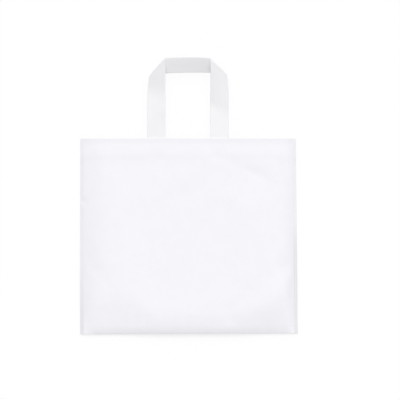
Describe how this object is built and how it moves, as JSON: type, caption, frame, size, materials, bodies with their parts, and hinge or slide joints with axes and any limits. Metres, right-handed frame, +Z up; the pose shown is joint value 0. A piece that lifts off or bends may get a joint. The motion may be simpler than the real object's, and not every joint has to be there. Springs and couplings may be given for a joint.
{
  "type": "non-woven shopping bag",
  "caption": "Flat rectangular white non-woven cloth bag with welded sides, a hemmed mouth, a foot gusset folded inside and short folded strap handles, lying on its back.",
  "frame": {"origin": "on the floor, under the middle of the back panel that the bag lies on", "axes": "+X across the bag to the right seen from the front, +Y from the foot to the mouth and handles, +Z up out of the front panel"},
  "size_m": [0.36, 0.4569, 0.035],
  "materials": {
    "bag_cloth": "matt white spunbond cloth, point bonded, faintly cloudy",
    "strap_cloth": "matt white spunbond cloth, folded double"
  },
  "bodies": {
    "root": {"bag_body": "bag_cloth", "front_handle": "strap_cloth", "rear_handle": "strap_cloth"}
  },
  "joints": []
}
